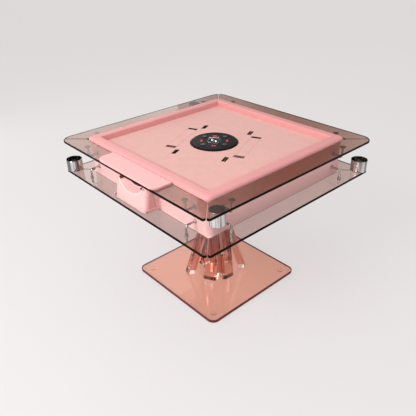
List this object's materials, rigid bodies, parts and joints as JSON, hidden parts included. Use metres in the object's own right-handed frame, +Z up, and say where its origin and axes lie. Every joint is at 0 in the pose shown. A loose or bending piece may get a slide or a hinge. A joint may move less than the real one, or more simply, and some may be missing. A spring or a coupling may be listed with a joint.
{
  "type": "automatic mahjong table",
  "caption": "Automatic mahjong table with a pink machine body, two tiers of smoked glass, chrome posts, cup holders, a rising control dial and a rose acrylic pedestal.",
  "frame": {"origin": "on the floor, under the centre of the table", "axes": "+Z up; -Y is the side with the flap and the tile bin; +X is to the right of someone who sits at that side"},
  "size_m": [1.04, 1.04, 0.779],
  "materials": {
    "rose_acrylic": "polished clear rose acrylic",
    "smoked_glass": "smoked, tempered, polished edges",
    "chrome": "polished",
    "cup_steel": "polished stainless steel",
    "pink_shell": "satin moulded pink plastic",
    "rim_pink": "satin moulded pink plastic",
    "cloth": "short woven pile",
    "dial_black": "glossy",
    "red_lens": "glossy, lit from inside",
    "clear_dome": "clear, polished",
    "board_wood": "plain sanded board",
    "pan_steel": "pressed sheet, grey paint",
    "dark_plastic": "moulded",
    "rubber": "matt",
    "dice_ivory": "glossy",
    "circuit": "coated circuit board"
  },
  "bodies": {
    "root": {"base_pads": "rubber", "base_plate": "rose_acrylic", "bin_bracket": "pink_shell", "casing_shell": "pink_shell", "control_board": "circuit", "cup_left": "cup_steel", "cup_right": "cup_steel", "dial_column": "pan_steel", "drive_motor": "pan_steel", "flange_bolts": "chrome", "floor_pan": "pan_steel", "glass_hooks": "chrome", "glass_posts": "chrome", "hinge_pins": "chrome", "hook_collars": "chrome", "lid_hinges": "rim_pink", "lift_guides": "pan_steel", "lower_glass_back": "smoked_glass", "lower_glass_front": "smoked_glass", "lower_glass_left": "smoked_glass", "lower_glass_right": "smoked_glass", "pedestal_core": "rose_acrylic", "pedestal_flange": "pan_steel", "pedestal_leg_1": "rose_acrylic", "pedestal_leg_2": "rose_acrylic", "pedestal_leg_3": "rose_acrylic", "pedestal_leg_4": "rose_acrylic", "pedestal_leg_5": "rose_acrylic", "pedestal_leg_6": "rose_acrylic", "playing_board": "board_wood", "playing_cloth": "cloth", "power_inlet": "dark_plastic", "power_supply": "pan_steel", "rim_frame": "rim_pink", "shuffle_drum": "dark_plastic", "tile_wells": "dark_plastic", "top_glass_back": "smoked_glass", "top_glass_front": "smoked_glass", "top_glass_left": "smoked_glass", "top_glass_right": "smoked_glass"},
    "dial_head": {"dial_housing": "dial_black", "dial_displays": "red_lens", "dice_dome": "clear_dome"},
    "dice_spinner": {"dice_disc": "dark_plastic", "dice": "dice_ivory"},
    "turntable": {"shuffle_disc": "dark_plastic"},
    "roller": {"drive_roller": "rubber"},
    "flap": {"side_lid": "rim_pink"},
    "bin": {"tile_bin": "pink_shell"},
    "rocker": {"power_switch": "dark_plastic"},
    "near_cup_holder": {"cup_near": "cup_steel"},
    "back_cup_holder": {"cup_back": "cup_steel"},
    "button_1": {"dial_button_1": "dial_black"},
    "lift_1": {"lift_plate_1": "cloth"},
    "button_2": {"dial_button_2": "dial_black"},
    "lift_2": {"lift_plate_2": "cloth"},
    "button_3": {"dial_button_3": "dial_black"},
    "lift_3": {"lift_plate_3": "cloth"},
    "button_4": {"dial_button_4": "dial_black"},
    "lift_4": {"lift_plate_4": "cloth"}
  },
  "joints": [
    {"name": "dial_lift", "type": "slide", "parent": "root", "child": "dial_head", "axis": [0, 0, 1], "range_m": [0, 0.085]},
    {"name": "dice_spin", "type": "hinge", "parent": "dial_head", "child": "dice_spinner", "pos_m": [0, 0, 0.752], "axis": [0, 0, 1], "continuous": true},
    {"name": "shuffle_spin", "type": "hinge", "parent": "root", "child": "turntable", "pos_m": [0, 0, 0.646], "axis": [0, 0, 1], "continuous": true},
    {"name": "roller_spin", "type": "hinge", "parent": "root", "child": "roller", "pos_m": [0.0773, 0, 0.634], "axis": [0, 0, 1], "continuous": true},
    {"name": "flap_hinge", "type": "hinge", "parent": "root", "child": "flap", "pos_m": [0.0215, -0.433, 0.7705], "axis": [-1, 0, 0], "range_deg": [0, 95]},
    {"name": "bin_tilt", "type": "hinge", "parent": "root", "child": "bin", "pos_m": [0.008, -0.489, 0.6205], "axis": [1, 0, 0], "range_deg": [0, 22]},
    {"name": "switch_rock", "type": "hinge", "parent": "root", "child": "rocker", "pos_m": [-0.244, 0.4215, 0.655], "axis": [1, 0, 0], "range_deg": [-7, 7]},
    {"name": "near_cup_swing", "type": "hinge", "parent": "root", "child": "near_cup_holder", "pos_m": [0.50903, -0.40885, 0.7526], "axis": [0, 0, 1], "range_deg": [0, 147]},
    {"name": "back_cup_swing", "type": "hinge", "parent": "root", "child": "back_cup_holder", "pos_m": [-0.50906, 0.31723, 0.7526], "axis": [0, 0, -1], "range_deg": [0, 137]},
    {"name": "button_1_press", "type": "slide", "parent": "dial_head", "child": "button_1", "axis": [0, 0, -1], "range_m": [0, 0.0015], "stiffness_N_per_m": 400},
    {"name": "button_2_press", "type": "slide", "parent": "dial_head", "child": "button_2", "axis": [0, 0, -1], "range_m": [0, 0.0015], "stiffness_N_per_m": 400},
    {"name": "button_3_press", "type": "slide", "parent": "dial_head", "child": "button_3", "axis": [0, 0, -1], "range_m": [0, 0.0015], "stiffness_N_per_m": 400},
    {"name": "button_4_press", "type": "slide", "parent": "dial_head", "child": "button_4", "axis": [0, 0, -1], "range_m": [0, 0.0015], "stiffness_N_per_m": 400},
    {"name": "lift_1_slide", "type": "slide", "parent": "root", "child": "lift_1", "axis": [0, 0, 1], "range_m": [-0.046, 0]},
    {"name": "lift_2_slide", "type": "slide", "parent": "root", "child": "lift_2", "axis": [0, 0, 1], "range_m": [-0.046, 0]},
    {"name": "lift_3_slide", "type": "slide", "parent": "root", "child": "lift_3", "axis": [0, 0, 1], "range_m": [-0.046, 0]},
    {"name": "lift_4_slide", "type": "slide", "parent": "root", "child": "lift_4", "axis": [0, 0, 1], "range_m": [-0.046, 0]}
  ],
  "couplings": [
    {"joint": "roller_spin", "follows": "shuffle_spin", "ratio": -4.1333},
    {"joint": "lift_2_slide", "follows": "lift_1_slide", "ratio": 1},
    {"joint": "lift_3_slide", "follows": "lift_1_slide", "ratio": 1},
    {"joint": "lift_4_slide", "follows": "lift_1_slide", "ratio": 1}
  ]
}
